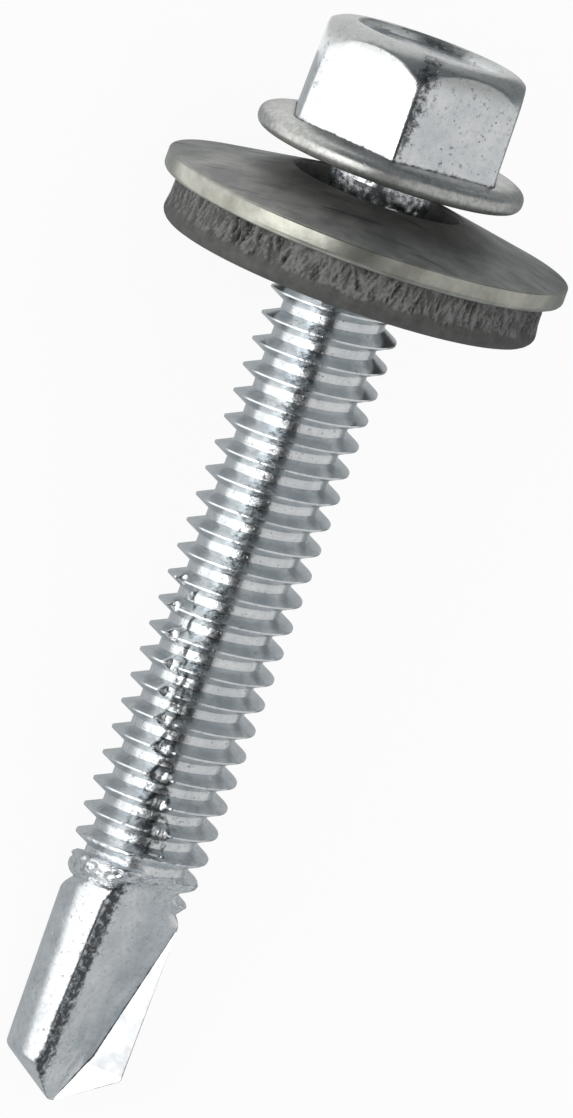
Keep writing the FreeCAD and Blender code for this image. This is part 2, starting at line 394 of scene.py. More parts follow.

# %% Stains and painted shade of the threaded block
# a painted dark reflection down the front of the thread, over the dark card's own reflection
streak = np.exp(-(((angles - 1.5 * math.pi) * crest_radius + 0.38) / 0.74) ** 2)
worn_end = ramp(-23 - heights, 6)
dent_rims, painted_stripe_shade = 2.6 * dent * (1 - dent), (0.66 - 0.2 * worn_end) * streak * (1 - 0.7 * dent)
# dent rims, the nicks and the worn lower turns are stains; near the neck it is painted shadow under the
# flange
threaded_stain_and_shade = ramp(dent_rims + 0.62 * near_neck + painted_stripe_shade + 0.25 * worn_end)
threaded_stain_and_shade = np.maximum(threaded_stain_and_shade, 1.3 * nick)
# painted shade on the thread's flanks, darkest half way down each flank, lighter at crest and root
threaded_flank_shade = np.tile([0, 0.1, 1, 0.35, 0, 0.35, 1, 0.1], turn_count)[::-1, None] + 0 * heights
threaded_pits = ramp(0.5 + dent + near_neck + np.clip((-20 - heights) / 14, 0, 0.5))
print("the dark streak covers", round(float((streak > 0.5).mean()) * 360), "degrees")

# %% [markdown]
# ### Head and flange
#
# The head is a hexagon with slightly leaning sides whose top edge was rounded by turning,
# struck a little off square, with a shallow round dent. Bevels on a prism would come out
# all alike, so a distance function says how far a point is outside the shape. Rays that
# start inside are halved until they sit on it, and blending the six sides softly rounds
# the upright edges as wear has.

# %% The head as a distance function
hex_flats, hex_corners, hex_draft, head_turn, top_tilt = 7.95, 9.0, 0.8, 2.0, 1.8
corner_drop, dish_radius, dish_depth = 1.5, 2.95, 0.35
flange_diameter, flange_thickness, flange_rise, neck_fillet = 10.6, 0.75, 0.22, 0.35


def soft_max(parts, width):
    """The largest of several arrays, with the corners between them rounded off."""
    largest = np.max(parts, axis=0)
    return largest + width * np.log(np.sum(np.exp((np.stack(parts) - largest) / width), axis=0))


def head_distance(x, y, z):
    """Roughly how far a point is outside the head, in millimetres."""
    lean = math.tan(math.radians(hex_draft))
    normals = np.radians(head_turn + 60 * np.arange(6))
    sides = [
        x * math.cos(a) + y * math.sin(a) + lean * (z - flange_thickness) - hex_flats / 2 for a in normals
    ]
    worn_corner = 0.14 * np.exp(-((np.degrees(np.arctan2(y, x)) % 360 - 212) / 14) ** 2)
    hexagon = soft_max(sides, np.interp(z, [1, 4.6], [0.05, 0.13]) + worn_corner)
    tilt, middle = math.radians(top_tilt), head_height / 2
    turned_y = y * math.cos(tilt) - (z - middle) * math.sin(tilt)
    turned_z = middle + y * math.sin(tilt) + (z - middle) * math.cos(tilt)
    radius = np.hypot(x, turned_y)
    over_side = radius - (hex_corners / 2 - corner_drop)
    over_top = turned_z - (head_height - corner_drop)
    turned = np.hypot(np.clip(over_side, 0, None), np.clip(over_top, 0, None)) - corner_drop
    turned = turned + np.minimum(np.maximum(over_side, over_top), 0)
    top = turned_z - (head_height - dish_depth * ramp(dish_radius - radius, 0.12))
    return soft_max([hexagon, turned, top], 0.03)


def reach_head(x, y, z, dx, dy, dz):
    """Distance along each ray from inside the head to its skin, found by halving."""
    low, high = np.zeros(np.broadcast(x, dx).shape), np.full(np.broadcast(x, dx).shape, 8.0)
    for _ in range(40):
        mid = (low + high) / 2
        outside = head_distance(x + dx * mid, y + dy * mid, z + dz * mid) > 0
        low, high = np.where(outside, low, mid), np.where(outside, mid, high)
    return low


cosines, sines = np.cos(angles), np.sin(angles)
side = reach_head(0 * angles, 0, 1.0, cosines, sines, 0)
print("the hexagon reaches", round(side.min(), 2), "to", round(side.max(), 2), "mm from the axis")


# %% Neck, fillet, and the flange's underside and rim
def level_row(radius, height):
    """A row at one radius and one height."""
    return polar(np.full(len(angles), radius), angles, height)


bulge = flange_thickness / 2
rim_middle = flange_diameter / 2 - bulge
upper = [level_row(root_radius - 0.04, height) for height in np.linspace(-neck_length, -neck_fillet, 5)]
for step in np.radians(np.arange(15, 91, 15)):
    flare = root_radius + neck_fillet * (1 - math.cos(step))
    upper.append(level_row(flare, -neck_fillet * (1 - math.sin(step))))
neck_rows = len(upper)
upper += [level_row(radius, 0) for radius in np.linspace(root_radius + neck_fillet, rim_middle, 7)[1:]]
for step in np.radians(np.arange(-75, 1, 15)):
    upper.append(level_row(rim_middle + bulge * math.cos(step), bulge + bulge * math.sin(step)))
print(len(upper), "rows up to the flange's rim")

# %% The flange's rolled top
roll_from, roll_power, foot_gap = 3.85, 2.9, 0.09
roll_height = flange_thickness + flange_rise - bulge


def roll_top(radius):
    """Height of the flange's top, rolled over towards its rim."""
    share = ramp(radius - roll_from, flange_diameter / 2 - roll_from)
    return bulge + roll_height * (1 - share ** roll_power) ** (1 / roll_power)


for part in np.concatenate([1 - np.cos(np.radians(np.arange(7, 60, 7))), [0.62, 0.76, 0.9, 1]]):
    radius = flange_diameter / 2 + (side + foot_gap - flange_diameter / 2) * part
    upper.append(polar(radius, angles, roll_top(radius)))
foot = roll_top(side)
foot_row = len(upper)
upper.append(polar(side + foot_gap * 0.3, angles, foot - foot_gap * 0.35))
print("the hexagon's foot is row", foot_row)

# %% The hexagon, its rounded top edge and the dent in its top
waist = 3.0              # the rays to the rounded edge start at this height on the axis
for part in np.linspace(0, 1, 15):
    height = foot + foot_gap + part * (waist - foot - foot_gap)
    upper.append(polar(reach_head(0, 0, height, cosines, sines, 0), angles, height))
for rise in np.radians(np.concatenate([np.arange(2.5, 20, 2.5), np.arange(20, 31, 0.8)])):
    ray = reach_head(0 * angles, 0, waist, cosines * math.cos(rise), sines * math.cos(rise), math.sin(rise))
    upper.append(polar(ray * math.cos(rise), angles, waist + ray * math.sin(rise)))
by_dent_wall = [3.0, 2.97, 2.955, 2.945, 2.92, 2.89, 2.86, 2.84, 2.825, 2.8]
for radius in [3.14, 3.06, *by_dent_wall, 2.7, 2.4, 2, 1.5, 1, 0.5, 0]:
    x, y = radius * cosines, radius * sines
    upper.append(np.stack([x, y, waist + reach_head(x, y, waist, 0, 0, 1.0)], axis=-1))
upper = np.stack(upper)
upper_core = np.full(upper.shape[:2], out_of_reach)
print("upper block", upper.shape[:2])

# %% [markdown]
# ### Stains and painted shade on the head
#
# Painted shade darkens the groove at the hexagon's foot, and painted shadow the neck under
# the flange. Painted dark reflections run along the hexagon's upright edges, strongest at
# the front, and across the front of the flange. The rounded top edge and the right side are
# painted greyer as painted shade; the left side is clean, with few pits. The shares are
# stored on the points, and the finish reads them later.


# %% Stains and painted shade of the head
def degrees_from(direction):
    """How far each column is from a direction, in degrees."""
    return np.abs((degrees - direction + 180) % 360 - 180)


height, reach = upper[..., 2], np.hypot(upper[..., 0], upper[..., 1])
on_flange = ramp(reach - 2.3, 0.2) * ramp(1.06 - height, 0.08)
on_side = ramp(height - 1.1, 0.1) * ramp(reach - 3.1, 0.2)
# the rounded top edge is painted greyer through the flank share, and made dull and warm: painted shade
upper_painted_shade = ramp(height - 4.0, 0.5) * ramp(reach - 2.85, 0.15)
upper_warm = np.maximum(on_flange, 0.9 * upper_painted_shade)

# each upright edge is darker in a band that widens upwards; at the front it is a painted dark reflection
from_middle = (degrees - head_turn + 30) % 60 - 30         # of the nearest side, in degrees
to_corner = np.radians((from_middle + 60) % 60 - 30) * reach - 0.13
zone = 0.2 + 0.4 * ramp(height - 1.3, 3)
upper_stain_and_shade = ramp(1.3 - np.abs(to_corner) / zone) * on_side * np.where(degrees_from(272) < 30, 0.8, 0.4)
# the rounded top edge is painted darker: painted shade
upper_stain_and_shade = np.maximum(upper_stain_and_shade, 0.28 * ramp(height - 4.0, 0.5) * ramp(reach - 2.8, 0.3))
# painted shade in the groove at the hexagon's foot, stronger towards the left front
upper_stain_and_shade[foot_row - 3:foot_row + 2] = [[0.1], [0.4], [0.7], [1.0], [0.3]]
upper_stain_and_shade[foot_row - 3:foot_row] *= 0.3 + 0.9 * ramp(1.4 - degrees_from(245) / 40)
# painted shadow on the neck under the flange
upper_stain_and_shade[:neck_rows] = np.maximum(upper_stain_and_shade[:neck_rows], 0.62)

# the right side of the hexagon is painted greyer and a little darker: painted shade
painted_shade_side = (degrees_from(302) < 31) * on_side
upper_painted_shade = np.maximum(upper_painted_shade, 0.3 * painted_shade_side)
upper_stain_and_shade = np.maximum(upper_stain_and_shade, 0.3 * painted_shade_side * ramp(height - 1.8, 2))
# a painted dark reflection across the front of the flange
upper_stain_and_shade = np.maximum(upper_stain_and_shade, 0.36 * np.exp(-(degrees_from(264) / 9) ** 2) * on_flange)
upper_pits = np.where((degrees_from(242) < 31) & (height > 1.05), 0.04, 0.8)
upper_pits = np.where((height < 1.05) & (reach > 2.3), 0.35, upper_pits)
print("mean stain of the head", round(float(upper_stain_and_shade.mean()), 2))

# %% [markdown]
# ## Rolling the thread
#
# The thread is one rule: how far a point is from the nearest crest, measured along the
# axis, gives its radius. Geometry Nodes state that rule with named sizes, where a screw
# modifier would draw a thread of its own beside the blank. The metal never grows past the
# blank, so a flute that was pinched in first stays open, and it never sinks below the
# core, so the neck and the drill body are left alone.


# %% The thread's inputs
def add_node(tree, kind, inputs=(), out=0, **settings):
    """A node with its settings, values and links. inputs are by name or number, or in the node's own order.

    Returns the output that out names, or all of them for None.
    """
    new = tree.nodes.new(kind)
    for key, value in settings.items():
        setattr(new, key, value)
    for key, value in inputs.items() if isinstance(inputs, dict) else enumerate(inputs):
        if isinstance(value, bpy.types.NodeSocket):
            tree.links.new(value, new.inputs[key])
        else:
            new.inputs[key].default_value = value
    return new.outputs if out is None else new.outputs[out]


thread_tree = bpy.data.node_groups.new("rolled_thread", "GeometryNodeTree")
thread_sizes = {
    "Pitch": pitch, "First crest": -first_crest, "Crest radius": crest_radius, "Root radius": root_radius,
    "Crest half": crest_width / 2, "Root start": pitch / 2 - root_width / 2, "Weld": 0.0015,
}
for key, kind in {"Blank": "Geometry", **dict.fromkeys(thread_sizes, "Float"), "Finish": "Material"}.items():
    thread_tree.interface.new_socket(key, in_out="INPUT", socket_type="NodeSocket" + kind)
thread_tree.interface.new_socket("Screw", in_out="OUTPUT", socket_type="NodeSocketGeometry")
print("sizes of the thread:", thread_sizes)

# %% How far each point is from the nearest crest
tree = thread_tree
given = add_node(tree, "NodeGroupInput", out=None)
x, y, z = add_node(tree, "ShaderNodeSeparateXYZ", [add_node(tree, "GeometryNodeInputPosition")], out=None)
angle = add_node(tree, "ShaderNodeMath", (y, x), operation="ARCTAN2")
turn_share = add_node(tree, "ShaderNodeMath", (angle, 2 * math.pi), operation="DIVIDE")
from_first = add_node(tree, "ShaderNodeMath", (z, given["First crest"]), operation="SUBTRACT")
turns = add_node(tree, "ShaderNodeMath", (from_first, given["Pitch"]), operation="DIVIDE")
turns = add_node(tree, "ShaderNodeMath", (turns, turn_share), operation="SUBTRACT")
nearest = add_node(tree, "ShaderNodeMath", (turns,), operation="ROUND")
gap = add_node(tree, "ShaderNodeMath", (turns, nearest), operation="SUBTRACT")
gap = add_node(tree, "ShaderNodeMath", (gap,), operation="ABSOLUTE")
gap = add_node(tree, "ShaderNodeMath", (gap, given["Pitch"]), operation="MULTIPLY")
ridge = add_node(tree, "ShaderNodeMapRange", {
    "Value": gap, "From Min": given["Crest half"], "From Max": given["Root start"],
    "To Min": given["Crest radius"], "To Max": given["Root radius"],
})
print(len(tree.nodes), "nodes give the thread's radius")

# %% Roll the blank down to it
core = add_node(tree, "GeometryNodeInputNamedAttribute", {"Name": "core"}, data_type="FLOAT")
x_square = add_node(tree, "ShaderNodeMath", (x, x), operation="MULTIPLY")
y_square = add_node(tree, "ShaderNodeMath", (y, y), operation="MULTIPLY")
square = add_node(tree, "ShaderNodeMath", (x_square, y_square), operation="ADD")
radius = add_node(tree, "ShaderNodeMath", (square,), operation="SQRT")
radius = add_node(tree, "ShaderNodeMath", (radius, 1e-6), operation="MAXIMUM")
allowed = add_node(tree, "ShaderNodeMath", (ridge, core), operation="MAXIMUM")
rolled = add_node(tree, "ShaderNodeMath", (radius, allowed), operation="MINIMUM")
shrink = add_node(tree, "ShaderNodeMath", (rolled, radius), operation="DIVIDE")
new_x = add_node(tree, "ShaderNodeMath", (x, shrink), operation="MULTIPLY")
new_y = add_node(tree, "ShaderNodeMath", (y, shrink), operation="MULTIPLY")
moved = add_node(tree, "ShaderNodeCombineXYZ", (new_x, new_y, z))
skin = add_node(tree, "GeometryNodeSetPosition", {"Geometry": given["Blank"], "Position": moved})
skin = add_node(tree, "GeometryNodeMergeByDistance", {"Geometry": skin, "Distance": given["Weld"]})
skin = add_node(tree, "GeometryNodeRealizeInstances", {"Geometry": skin})
skin = add_node(tree, "GeometryNodeSetMaterial", {"Geometry": skin, "Material": given["Finish"]})
add_node(tree, "NodeGroupOutput", {"Screw": skin}, out=None)
print(len(tree.nodes), "nodes in the whole rule")

# %% [markdown]
# ## Finishes
#
# The colours are written as hex values in sRGB and turned to linear by one function.
# Patterns are drawn on the upright screw: a Mapping node undoes the lying pose, so one
# unit of a pattern is one millimetre and its Z runs along the axis.


# %% Colour and coordinates
def linear(hex_code):
    """An sRGB hex colour as linear RGBA."""
    values = [int(hex_code[i:i + 2], 16) / 255 for i in (0, 2, 4)]
    return [v / 12.92 if v <= 0.04045 else ((v + 0.055) / 1.055) ** 2.4 for v in values] + [1.0]


def new_material(name):
    """A new material, its tree, its shader's inputs and upright millimetres to draw patterns in."""
    made = bpy.data.materials.new(name)
    made.use_nodes = True
    tree = made.node_tree
    back = turn.transposed()
    place = add_node(tree, "ShaderNodeMapping", {
        "Vector": add_node(tree, "ShaderNodeTexCoord", out="Object"), "Scale": (1000, 1000, 1000),
        "Rotation": back.to_euler(), "Location": -(back @ flange_seat) * 1000,
    })
    return made, tree, tree.nodes["Principled BSDF"].inputs, place


def blotches(tree, place, size_mm, detail, roughness, stretch=(1, 1, 1)):
    """A random pattern from 0 to 1 whose blotches are about size_mm across."""
    scaled = add_node(tree, "ShaderNodeMapping", {"Vector": place, "Scale": stretch})
    return add_node(tree, "ShaderNodeTexNoise", {
        "Vector": scaled, "Scale": 1 / size_mm, "Detail": detail, "Roughness": roughness,
    })


def layered(tree, colour, layers):
    """A colour with others laid over it, each as far as its share says."""
    for share, over in layers:
        colour = add_node(tree, "ShaderNodeMix", {0: share, 6: colour, 7: over}, out=2, data_type="RGBA")
    return colour


print("mid grey 808080 is", round(linear("808080")[0], 3), "in linear light")

# %% [markdown]
# ### Zinc plate
#
# The screw is carbon steel with bright electroplated zinc. Fresh plate is a mirror with a
# cool cast, so the roughness starts at 0.10, and the eye sees the studio in every flat.
# Years in a box have clouded it: the flange is duller and warmer, and small pits and dark
# mottled stains sit where the stored shares put them. The same stain share also carries
# painted shade and painted dark reflections, and the flank share paints the thread's flanks,
# the head's top edge and its right side greyer as painted shade. A stain's speckles are
# about 0.24 mm, which is what the photograph resolves.


# %% Bright zinc plate
def bright_zinc():
    """Electroplated zinc: a cool mirror with pits, stains, painted shade and a duller, warmer flange."""
    made, tree, shader, place = new_material("bright_zinc_plate")
    stain_and_shade, warm, flank, pitted = [
        add_node(tree, "ShaderNodeAttribute", out="Fac", attribute_name=key)
        for key in ("stain_and_shade", "warm", "flank", "pits")
    ]
    smudge = blotches(tree, place, 1.1, 5, 0.6)
    mottle = blotches(tree, place, 0.24, 5, 0.75)
    hollows = blotches(tree, place, 0.15, 1, 0.4)

    # stains together with painted shade and painted dark reflections, broken up by the mottle
    speckle = add_node(tree, "ShaderNodeMath", (mottle, 2.4), operation="MULTIPLY")
    speckle = add_node(tree, "ShaderNodeMath", (stain_and_shade, speckle), operation="ADD")
    stain_and_shade_share = add_node(tree, "ShaderNodeMapRange", (speckle, 1.66, 2.15, 0, 1))
    pit = add_node(tree, "ShaderNodeMapRange", (hollows, 0.23, 0.31, 1, 0))
    pit = add_node(tree, "ShaderNodeMath", (pit, pitted), operation="MULTIPLY")
    cloud = add_node(tree, "ShaderNodeMapRange", (mottle, 0.5, 0.7, 0, 0.6))
    cloud = add_node(tree, "ShaderNodeMath", (cloud, pitted), operation="MULTIPLY")
    smudged = add_node(tree, "ShaderNodeMapRange", (smudge, 0.35, 0.65, 0, 1))
    mottled = add_node(tree, "ShaderNodeMapRange", (mottle, 0.35, 0.65, 0, 1))
    # the flank share is painted shade
    flank_shade_share = add_node(tree, "ShaderNodeMath", (flank, 0.32), operation="MULTIPLY")
    pit_share = add_node(tree, "ShaderNodeMath", (pit, 0.5), operation="MULTIPLY")
    dull = layered(tree, linear("ABACA8"), [(mottled, linear("D8D9D5"))])
    colour = layered(tree, linear("DDE1E4"), [
        (smudged, linear("F3F5F6")), (warm, dull), (flank_shade_share, linear("A1A9AB")),
        (cloud, linear("A4AAAC")), (pit_share, linear("7D8082")), (stain_and_shade_share, linear("5C5F61")),
    ])

    dulled = add_node(tree, "ShaderNodeMath", (warm, stain_and_shade_share), operation="MAXIMUM")
    dulled = add_node(tree, "ShaderNodeMath", (dulled, 0.2), operation="MULTIPLY")
    roughness = add_node(tree, "ShaderNodeMapRange", (smudge, 0.3, 0.7, 0.10, 0.24))
    roughness = add_node(tree, "ShaderNodeMath", (dulled, roughness), operation="ADD")
    grain_share = add_node(tree, "ShaderNodeMath", (pitted, 0.5), operation="MULTIPLY")
    grain = add_node(tree, "ShaderNodeBump", {"Height": mottle, "Strength": grain_share, "Distance": 0.00003})
    bump = add_node(tree, "ShaderNodeBump", {
        "Height": pit, "Strength": 0.7, "Distance": 0.00003, "Normal": grain,
    }, invert=True)
    shader["Metallic"].default_value = 1.0
    for value, socket in ((colour, "Base Color"), (roughness, "Roughness"), (bump, "Normal")):
        tree.links.new(value, shader[socket])
    return made


zinc = bright_zinc()
print(zinc.name, "has", len(zinc.node_tree.nodes), "nodes")

# %% [markdown]
# ## Making the screw
#
# The three blocks go into one object, the node tree rolls the thread, and the evaluated
# result becomes a plain mesh that is laid down in the frame. One mesh is right, because
# the real screw is one piece of steel from the head to the tip. Where two blocks meet,
# the rows differ by a few hundredths of a millimetre, and a strip of faces closes the skin.


# %% Make the screw
def laid_down(thing, sharp_degrees):
    """Turn an upright object's evaluated shape into a plain mesh that lies in the frame."""
    shape = thing.evaluated_get(bpy.context.evaluated_depsgraph_get())
    mesh = bpy.data.meshes.new_from_object(shape)
    thing.modifiers.clear()
    thing.data = mesh
    mesh.name = thing.name
    mesh.validate()          # merged points can leave two faces on the same corners
    mesh.transform(lay_down)
    mesh.shade_smooth()
    mesh.set_sharp_from_angle(angle=math.radians(sharp_degrees))
    print(thing.name, len(mesh.polygons), "faces")
    return thing


def strips(blocks):
    """The two joints between three blocks: the last row of each one with the first row of the next."""
    return [np.stack([below[-1], above[0]]) for below, above in zip(blocks, blocks[1:])]


values = {
    "core": [lower_core, threaded_core, upper_core], "stain_and_shade": [lower_stain_and_shade, threaded_stain_and_shade, upper_stain_and_shade],
    "warm": [0 * lower_core, 0 * heights, upper_warm], "flank": [0 * lower_core, threaded_flank_shade, upper_painted_shade],
    "pits": [lower_pits, threaded_pits, upper_pits],
}
screw = new_object("facade_screw", [
    (lower, wrap(lower)), (threaded, wrap(threaded, climb=len(marks))), (upper, wrap(upper)),
    *[(strip, wrap(strip)) for strip in strips([lower, threaded, upper])],
], {key: blocks + strips(blocks) for key, blocks in values.items()})
rolling = screw.modifiers.new("rolled_thread", "NODES")
rolling.node_group = thread_tree
sockets = {item.name: item.identifier for item in thread_tree.interface.items_tree if item.in_out == "INPUT"}
for key, value in {**thread_sizes, "Finish": zinc}.items():
    rolling[sockets[key]] = value
screw = laid_down(screw, 38)
screw.data.attributes.remove(screw.data.attributes["core"])

# %% [markdown]
# ## Turned pieces
#
# The washer and its ring are stamped and moulded round, so each is a closed outline turned
# about the axis. The outline's corners are rounded in the outline itself, where a Bevel
# modifier would round every edge by the same amount.


# %% Outlines with rounded corners, turned about the axis
def rounded_outline(corners, arc_steps=6, spacing=(0.35,)):
    """Points along a closed (radius, height, rounding) outline. spacing may differ from edge to edge."""
    path = []
    count = len(corners)
    for index, (radius, height, rounding) in enumerate(corners):
        here = np.array([radius, height])
        back = np.array(corners[index - 1][:2]) - here
        ahead = np.array(corners[(index + 1) % count][:2]) - here
        back, ahead = back / np.linalg.norm(back), ahead / np.linalg.norm(ahead)
        half_angle = math.acos(np.clip(back @ ahead, -1, 1)) / 2
        bisector = (back + ahead) / np.linalg.norm(back + ahead)
        centre = here + bisector * rounding / math.sin(half_angle)
        first = here + back * rounding / math.tan(half_angle) - centre
        last = here + ahead * rounding / math.tan(half_angle) - centre
        for share in np.linspace(0, 1, arc_steps + 1):
            spoke = first * (1 - share) + last * share
            path.append(centre + spoke / np.linalg.norm(spoke) * rounding)
    filled = []
    for index, point in enumerate(path):
        run = path[(index + 1) % len(path)] - point
        edge_spacing = spacing[index // (arc_steps + 1) % len(spacing)]
        steps = max(1, int(np.linalg.norm(run) / edge_spacing))
        filled += [point + run * k / steps for k in range(steps)]
    return np.array(filled)


def turned_piece(name, outline, columns, finish, wear=None):
    """A closed outline turned about the axis. wear gives a change of radius and how torn each point is."""
    around = np.arange(columns) * 2 * math.pi / columns
    closed = np.concatenate([outline, outline[:1]])
    radius, height = closed[:, :1], closed[:, 1:]
    change, torn = wear(radius, height, around[None, :]) if wear else (0, None)
    points = polar(radius + change, around[None, :], height)
    thing = new_object(name, [(points, wrap(points))], {"torn": [torn]} if wear else None)
    weld = thing.modifiers.new("weld", "WELD")
    weld.merge_threshold = 0.001
    thing.data.materials.append(finish)
    return laid_down(thing, 50)


square = [(1, 0, 0.1), (2, 0, 0.1), (2, 1, 0.1), (1, 1, 0.1)]
print("a square outline gets", len(rounded_outline(square)), "points")

# %% [markdown]
# ### Washer
#
# The washer is a stamped disc of zinc-plated sheet, dished so that it presses the rubber
# outwards when it is driven home. Rolling leaves the faces satin and streaked one way, and
# the cut rim is smoother and paler, with a warm cast. So one material holds both, divided
# by the distance from the axis: a roughness of 0.56 spreads the lamps' light over the
# faces, and 0.32 lets the rim catch it.


# %% Satin zinc sheet
def satin_washer():
    """Rolled and plated sheet: grey and streaked on the faces, pale and warm on the cut rim."""
    made, tree, shader, place = new_material("satin_zinc_sheet")
    rim_from, rim_to = 7.88, 7.94          # millimetres from the axis
    smudge = blotches(tree, place, 1.6, 5, 0.65)
    streak = blotches(tree, place, 0.5, 4, 0.65, stretch=(0.18, 1, 1))
    smudged = add_node(tree, "ShaderNodeMapRange", (smudge, 0.35, 0.65, 0, 1))
    streaked = add_node(tree, "ShaderNodeMapRange", (streak, 0.55, 0.72, 0, 0.8))
    face = layered(tree, linear("929391"), [(smudged, linear("B8B8B4")), (streaked, linear("6C6D6B"))])
    edge = layered(tree, linear("94948B"), [(smudged, linear("BEBEB4"))])
    level = add_node(tree, "ShaderNodeVectorMath", (place, (1, 1, 0)), operation="MULTIPLY")
    reach = add_node(tree, "ShaderNodeVectorMath", (level,), out="Value", operation="LENGTH")
    on_rim = add_node(tree, "ShaderNodeMapRange", (reach, rim_from, rim_to, 0, 1))
    colour = layered(tree, face, [(on_rim, edge)])
    roughness = add_node(tree, "ShaderNodeMapRange", (reach, rim_from, rim_to, 0.56, 0.32))
    grain = blotches(tree, place, 0.12, 2, 0.6, stretch=(0.4, 1, 1))
    bump = add_node(tree, "ShaderNodeBump", {"Height": grain, "Strength": 0.3, "Distance": 0.00002})
    shader["Metallic"].default_value = 1.0
    for value, socket in ((colour, "Base Color"), (roughness, "Roughness"), (bump, "Normal")):
        tree.links.new(value, shader[socket])
    return made


washer_zinc = satin_washer()
print(washer_zinc.name, "has", len(washer_zinc.node_tree.nodes), "nodes")

# %% The washer, in millimetres and degrees
washer_diameter, washer_bore, washer_thickness, washer_dish = 16.0, 6.6, 0.8, 12.5
washer_gap = 0.95        # from the flange down to the washer's bore
dish_slope = math.tan(math.radians(washer_dish))
upright_thickness = washer_thickness / math.cos(math.radians(washer_dish))


def washer_top(radius):
    """Height of the washer's upper face."""
    return -washer_gap - (radius - washer_bore / 2) * dish_slope


def washer_under(radius):
    """Height of the washer's lower face, where the rubber is bonded."""
    return washer_top(radius) - upright_thickness


bore, rim = washer_bore / 2, washer_diameter / 2
washer = turned_piece("washer_plate", rounded_outline([
    (bore, washer_under(bore), 0.05), (rim, washer_under(rim), 0.22),
    (rim, washer_top(rim), 0.09), (bore, washer_top(bore), 0.12),
]), 240, washer_zinc)
print("the rim is", round(washer_top(bore) - washer_top(rim), 2), "mm lower than the bore")

# %% [markdown]
# ### Rubber ring
#
# The ring is EPDM rubber, moulded on the sheet and punched out with it. The punch tore the
# upper part of its side into slanting fibres and left the lower part pressed smooth. Each
# set of fibres is noise that is stretched along the tear, so where it passes through zero
# it draws a thin raised line. The rubber is black and matt, roughness 0.7. Its colour
# follows the same lines: painted shade between the torn fibres and a painted highlight along
# their crests, where the light rakes over them.

# %% Sizes of the ring and its torn side
seal_diameter, seal_thickness, seal_land, seal_rounding, thread_clearance = 14.8, 2.1, 0.7, 0.4, 0.06
bore, rim = crest_radius + thread_clearance, seal_diameter / 2
depth = seal_thickness / math.cos(math.radians(washer_dish))
land = rim - seal_rounding - seal_land
floor_height = washer_under(land) - depth
fibre_sets = ((0.45, 11), (-0.4, 23), (0.05, 37))          # slant and seed of each


def torn_edge(radius, height, around):
    """The cut side of the ring: torn in slanting fibres above, pressed smooth and proud below."""
    share = (height - floor_height) / (washer_under(rim) - floor_height)
    outside = ramp(radius - rim + 0.35, 0.3)
    frayed = ramp(share - 0.25 + 0.12 * ripple(polar(rim, around, height * 0), 0.7, 3), 0.14) * outside
    fibres = np.full(frayed.shape, -1.0)
    for slant, seed in fibre_sets:
        line = polar(rim, around + slant * height / rim, height * 0.1)
        fibres = np.maximum(fibres, 1 - 5.0 * np.abs(ripple(line, 0.2, seed)))
    waist = 0.05 * ramp(share - 0.4) - 0.06 * ramp(1 - np.abs(share - 0.22) / 0.25)
    change = -outside * waist - frayed * 0.085 * (1 - np.clip(fibres, -1, 1))
    return change * (share < 0.97), fibres * frayed


print("the ring's side is", round(washer_under(rim) - floor_height, 2), "mm high")


# %% Cut rubber
def cut_rubber():
    """Matt black rubber, with painted shade between the torn fibres and a painted highlight on their crests.
    """
    made, tree, shader, place = new_material("epdm_rubber")
    torn = add_node(tree, "ShaderNodeAttribute", out="Fac", attribute_name="torn")
    shade = blotches(tree, place, 0.5, 4, 0.6)
    shade = add_node(tree, "ShaderNodeMapRange", (shade, 0.3, 0.7, 0, 1))
    # painted shade between the fibres, and a painted highlight along their crests
    between = add_node(tree, "ShaderNodeMapRange", (torn, -1.0, 0.15, 1.0, 0))
    crest = add_node(tree, "ShaderNodeMapRange", (torn, 0.5, 0.98, 0, 0.7))
    colour = layered(tree, linear("434342"), [
        (shade, linear("5A5A58")), (between, linear("1A1A19")), (crest, linear("838482")),
    ])
    grain = blotches(tree, place, 0.07, 3, 0.6)
    bump = add_node(tree, "ShaderNodeBump", {"Height": grain, "Strength": 0.4, "Distance": 0.00003})
    shader["Roughness"].default_value = 0.7
    for value, socket in ((colour, "Base Color"), (bump, "Normal")):
        tree.links.new(value, shader[socket])
    return made


ring = turned_piece("rubber_ring", rounded_outline([
    (bore, washer_under(bore) - depth, 0.05), (land, floor_height, 0.05), (rim, floor_height, seal_rounding),
    (rim, washer_under(rim), 0.02), (bore, washer_under(bore), 0.02),
], spacing=(0.6, 0.6, 0.06, 0.6, 0.6)), 640, cut_rubber(), torn_edge)
print("the ring hangs", round(-floor_height, 2), "mm below the flange")

# %% [markdown]
# ## Studio
#
# The screw lies on white paper that fades into a white room. A floor that is only lit
# would turn grey or need lamps that burn the metal out, so what the camera and the
# mirrors see of it is mostly a plain glow, and the rest takes the screw's soft shadow.

# %% Paper floor and white room
half_floor = 2.0
corners = [(-1, -1), (1, -1), (1, 1), (-1, 1)]
floor = bpy.data.objects.new("floor", bpy.data.meshes.new("floor"))
floor.data.from_pydata([(x * half_floor, y * half_floor, 0) for x, y in corners], [], [(0, 1, 2, 3)])
bpy.context.scene.collection.objects.link(floor)
paper = bpy.data.materials.new("white_paper_floor")
paper.use_nodes = True
tree = paper.node_tree
tree.nodes.clear()
rays = add_node(tree, "ShaderNodeLightPath", out=None)
seen = add_node(tree, "ShaderNodeMath", (rays["Is Camera Ray"], rays["Is Glossy Ray"]), operation="ADD")
seen = add_node(tree, "ShaderNodeMath", (seen, rays["Is Transmission Ray"]), operation="ADD", use_clamp=True)
share = add_node(tree, "ShaderNodeMath", (seen, 0.92), operation="MULTIPLY")
matt = add_node(tree, "ShaderNodeBsdfDiffuse", {"Color": linear("F2F2F2")})
glow = add_node(tree, "ShaderNodeEmission", {"Color": (1, 1, 1, 1), "Strength": 1.0})
mixed = add_node(tree, "ShaderNodeMixShader", (share, matt, glow))
